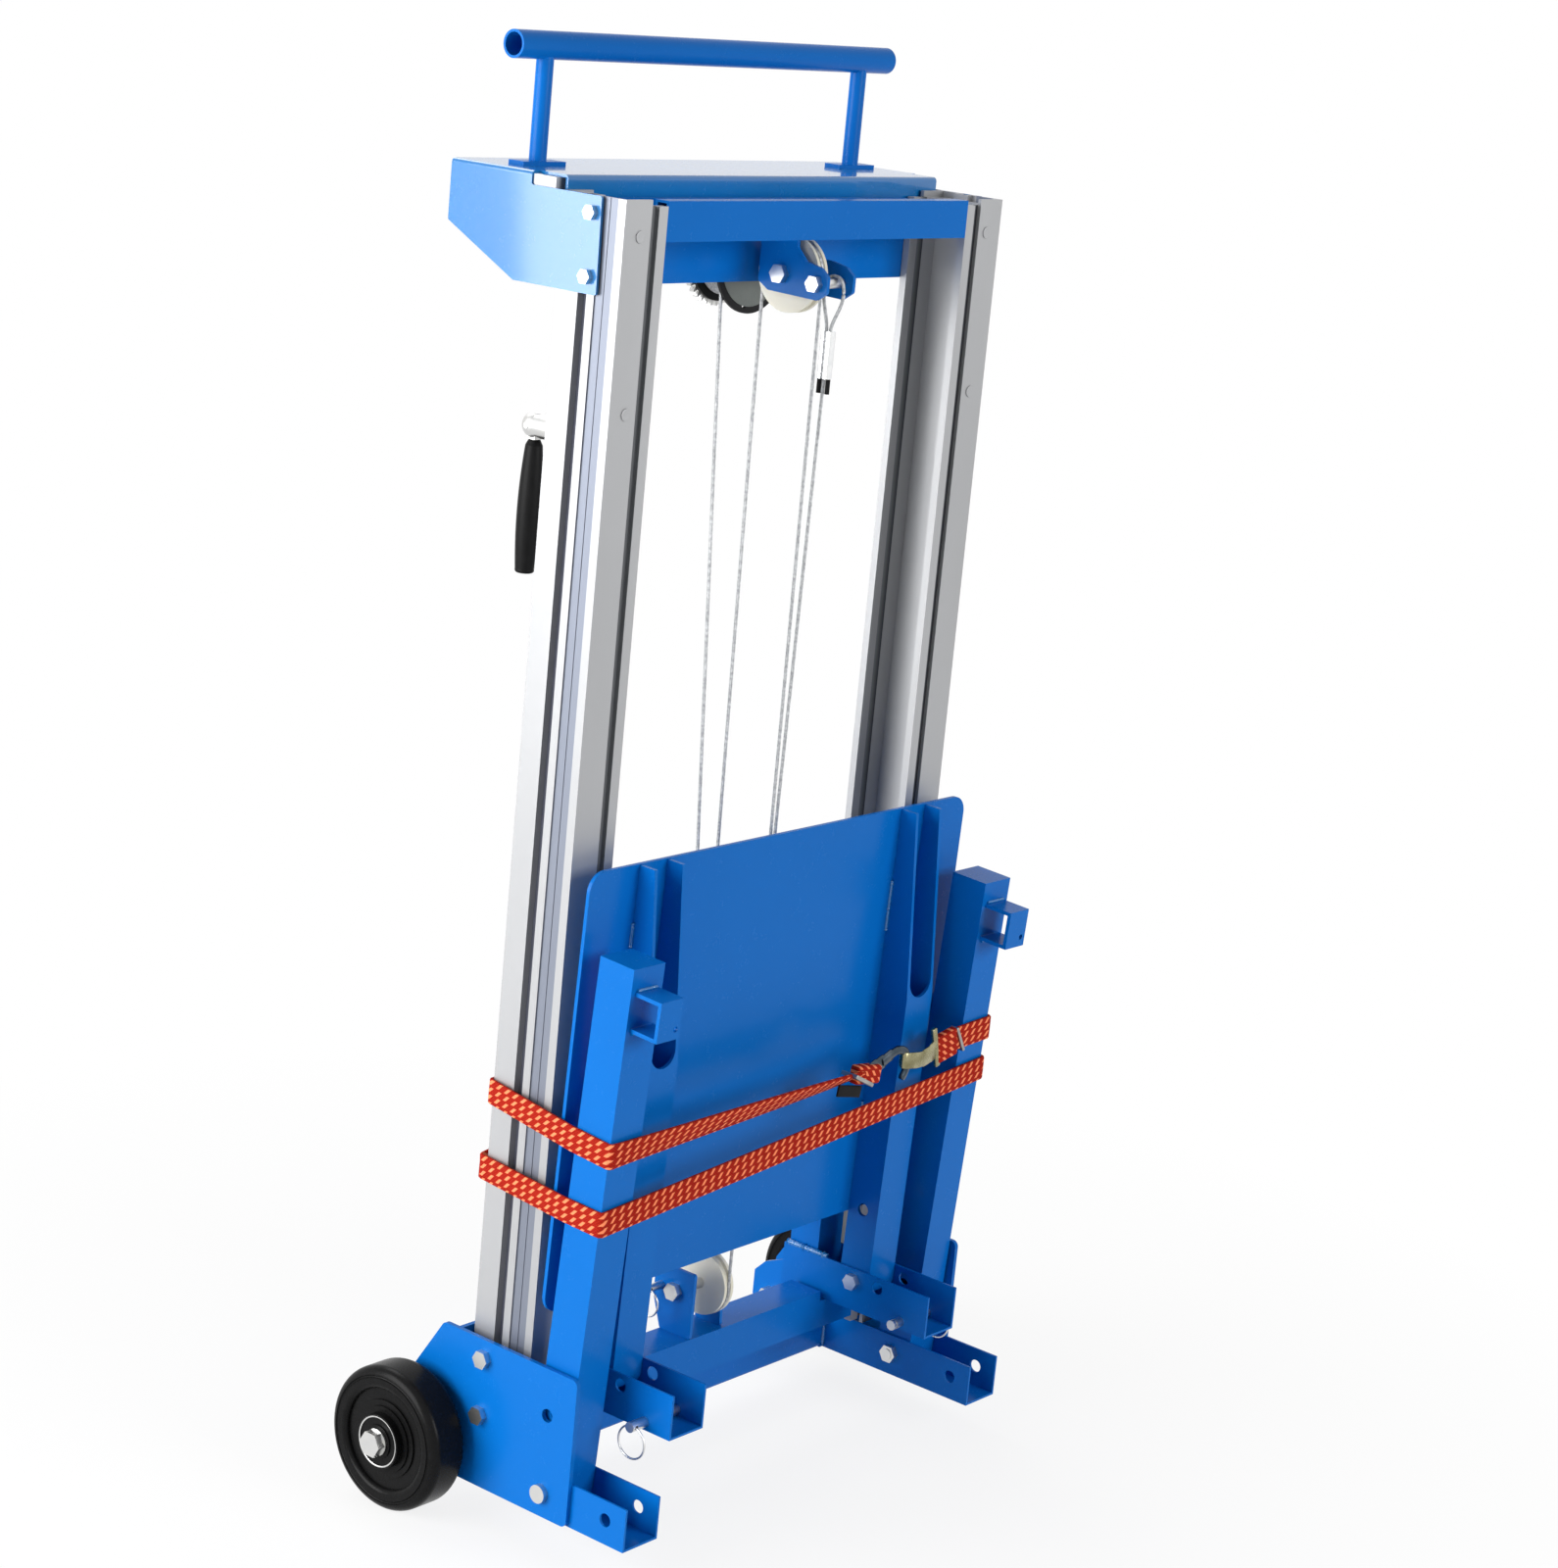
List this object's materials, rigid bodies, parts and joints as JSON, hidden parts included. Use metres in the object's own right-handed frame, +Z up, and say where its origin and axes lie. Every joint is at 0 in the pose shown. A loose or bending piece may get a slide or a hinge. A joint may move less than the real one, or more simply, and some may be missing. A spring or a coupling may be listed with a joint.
{
  "type": "winch platform lift",
  "caption": "Upright hand-winch lift with telescoping aluminium masts, fold-up platform and legs, push handle and rear wheels, strapped for transport.",
  "frame": {"origin": "on the floor, midway between the masts, below the middle of the whole lift from its foot tips to its crank grip", "axes": "+X to the right mast, -Y to the front where the platform folds out, +Z up along the masts"},
  "size_m": [0.76, 0.4295, 1.465],
  "materials": {
    "blue_paint": "gloss",
    "mast_aluminium": "satin",
    "zinc_steel": "zinc plated",
    "black_steel": "satin",
    "wire_rope": "stranded",
    "black_sleeve": "matte",
    "nylon": "satin",
    "tyre_rubber": "satin",
    "wheel_plastic": "satin",
    "grip_plastic": "satin",
    "strap_weave": "woven"
  },
  "bodies": {
    "base": {"base_frame": "blue_paint", "outer_mast_left": "mast_aluminium", "outer_mast_right": "mast_aluminium", "winch_plate": "blue_paint", "hood": "blue_paint", "hood_blocks": "mast_aluminium", "push_handle": "blue_paint", "winch_frame": "zinc_steel", "drum_axle": "zinc_steel", "frame_bolts": "zinc_steel", "axle_bolts": "zinc_steel", "leg_bolts": "zinc_steel", "strap": "strap_weave", "strap_hook_left": "zinc_steel", "strap_hook_right": "zinc_steel", "rope_haul": "wire_rope"},
    "wheel_left": {"wheel_tyre_left": "tyre_rubber", "wheel_hub_left": "wheel_plastic"},
    "wheel_right": {"wheel_tyre_right": "tyre_rubber", "wheel_hub_right": "wheel_plastic"},
    "inner_mast": {"inner_mast_left": "mast_aluminium", "inner_mast_right": "mast_aluminium", "front_crossbar": "blue_paint", "top_bracket": "blue_paint", "bracket_axles": "zinc_steel", "bottom_crossbar": "blue_paint", "lower_bracket": "blue_paint", "rope_mast_run": "wire_rope", "rope_eye": "wire_rope", "rope_ferrule": "mast_aluminium", "rope_tail_sleeves": "black_sleeve", "rope_fall": "wire_rope"},
    "top_sheave": {"top_sheave": "nylon"},
    "lower_sheave": {"lower_sheave": "nylon"},
    "stop_pin": {"lock_pin_keeper": "zinc_steel", "pull_ring_keeper": "zinc_steel"},
    "carriage": {"carriage_frame": "blue_paint", "carriage_glides": "nylon", "carriage_bolts": "zinc_steel"},
    "carriage_sheave": {"carriage_sheave": "nylon"},
    "platform": {"platform_plate": "blue_paint", "platform_arm_left": "blue_paint", "platform_arm_right": "blue_paint"},
    "lock_pin_left": {"lock_pin_left": "zinc_steel", "pull_ring_left": "zinc_steel"},
    "lock_pin_right": {"lock_pin_right": "zinc_steel", "pull_ring_right": "zinc_steel"},
    "leg_left": {"leg_left": "blue_paint", "foot_loop_left": "blue_paint"},
    "leg_right": {"leg_right": "blue_paint", "foot_loop_right": "blue_paint"},
    "drum": {"winch_drum": "black_steel", "drum_gear": "zinc_steel", "rope_winding": "wire_rope"},
    "crank": {"pinion_shaft": "zinc_steel", "crank_arm": "zinc_steel", "grip_pin": "zinc_steel"},
    "grip_knuckle": {"grip_knuckle": "zinc_steel"},
    "crank_grip": {"crank_grip": "grip_plastic"}
  },
  "joints": [
    {"name": "crank_turn", "type": "hinge", "parent": "base", "child": "crank", "pos_m": [-0.02287, 0.08325, 1.27128], "axis": [0, -1, 0], "range_deg": [0, 5482.85], "deforming": ["strap", "strap_hook_left", "strap_hook_right", "rope_fall"]},
    {"name": "drum_turn", "type": "hinge", "parent": "base", "child": "drum", "pos_m": [0.038, 0.08325, 1.2515], "axis": [0, 1, 0], "range_deg": [0, 1508.78], "deforming": ["strap", "strap_hook_left", "strap_hook_right", "rope_fall"]},
    {"name": "mast_lift", "type": "slide", "parent": "base", "child": "inner_mast", "axis": [0, 0, 1], "range_m": [0, 0.9], "deforming": ["strap", "strap_hook_left", "strap_hook_right", "rope_haul"]},
    {"name": "carriage_lift", "type": "slide", "parent": "inner_mast", "child": "carriage", "axis": [0, 0, 1], "range_m": [0, 0.501], "deforming": ["strap", "strap_hook_left", "strap_hook_right", "rope_fall"]},
    {"name": "top_sheave_turn", "type": "hinge", "parent": "inner_mast", "child": "top_sheave", "pos_m": [0, -0.02935, 1.2505], "axis": [1, 0, 0], "range_deg": [0, 1528.89], "deforming": ["strap", "strap_hook_left", "strap_hook_right", "rope_fall"]},
    {"name": "lower_sheave_turn", "type": "hinge", "parent": "inner_mast", "child": "lower_sheave", "pos_m": [0, -0.03755, 0.1895], "axis": [1, 0, 0], "range_deg": [0, 1686.17], "deforming": ["strap", "strap_hook_left", "strap_hook_right", "rope_fall"]},
    {"name": "carriage_sheave_turn", "type": "hinge", "parent": "carriage", "child": "carriage_sheave", "pos_m": [0.021, -0.02115, 0.3695], "axis": [1, 0, 0], "range_deg": [0, 874.41], "deforming": ["strap", "strap_hook_left", "strap_hook_right", "rope_fall"]},
    {"name": "platform_fold", "type": "hinge", "parent": "carriage", "child": "platform", "pos_m": [0, -0.09875, 0.1645], "axis": [1, 0, 0], "range_deg": [0, 88.1], "deforming": ["strap", "strap_hook_left", "strap_hook_right"]},
    {"name": "left_leg_fold", "type": "hinge", "parent": "base", "child": "leg_left", "pos_m": [-0.277, -0.10675, 0.0645], "axis": [1, 0, 0], "range_deg": [0, 86.56], "deforming": ["strap", "strap_hook_left", "strap_hook_right"]},
    {"name": "right_leg_fold", "type": "hinge", "parent": "base", "child": "leg_right", "pos_m": [0.277, -0.10675, 0.0645], "axis": [1, 0, 0], "range_deg": [0, 86.56], "deforming": ["strap", "strap_hook_left", "strap_hook_right"]},
    {"name": "grip_fold", "type": "hinge", "parent": "crank", "child": "grip_knuckle", "pos_m": [-0.10493, 0.20225, 1.06715], "axis": [1, 0, 0], "range_deg": [0, 90]},
    {"name": "grip_spin", "type": "hinge", "parent": "grip_knuckle", "child": "crank_grip", "pos_m": [-0.10493, 0.20225, 0.98715], "axis": [0, 0, 1], "continuous": true},
    {"name": "left_wheel_turn", "type": "hinge", "parent": "base", "child": "wheel_left", "pos_m": [-0.34, 0.06225, 0.075], "axis": [1, 0, 0], "continuous": true},
    {"name": "right_wheel_turn", "type": "hinge", "parent": "base", "child": "wheel_right", "pos_m": [0.34, 0.06225, 0.075], "axis": [1, 0, 0], "continuous": true},
    {"name": "left_pin_pull", "type": "slide", "parent": "carriage", "child": "lock_pin_left", "axis": [-1, 0, 0], "range_m": [0, 0.06]},
    {"name": "right_pin_pull", "type": "slide", "parent": "carriage", "child": "lock_pin_right", "axis": [1, 0, 0], "range_m": [0, 0.06]},
    {"name": "stop_pin_pull", "type": "slide", "parent": "inner_mast", "child": "stop_pin", "axis": [-1, 0, 0], "range_m": [0, 0.03]}
  ],
  "couplings": [
    {"joint": "drum_turn", "follows": "crank_turn", "ratio": 0.275},
    {"joint": "carriage_lift", "follows": "crank_turn", "m_per_rad": 0.005225},
    {"joint": "top_sheave_turn", "follows": "crank_turn", "ratio": 0.27867},
    {"joint": "lower_sheave_turn", "follows": "crank_turn", "ratio": 0.30735},
    {"joint": "carriage_sheave_turn", "follows": "crank_turn", "ratio": 0.1593},
    {"joint": "left_leg_fold", "follows": "platform_fold", "ratio": 0.9825},
    {"joint": "right_leg_fold", "follows": "platform_fold", "ratio": 0.9825}
  ]
}
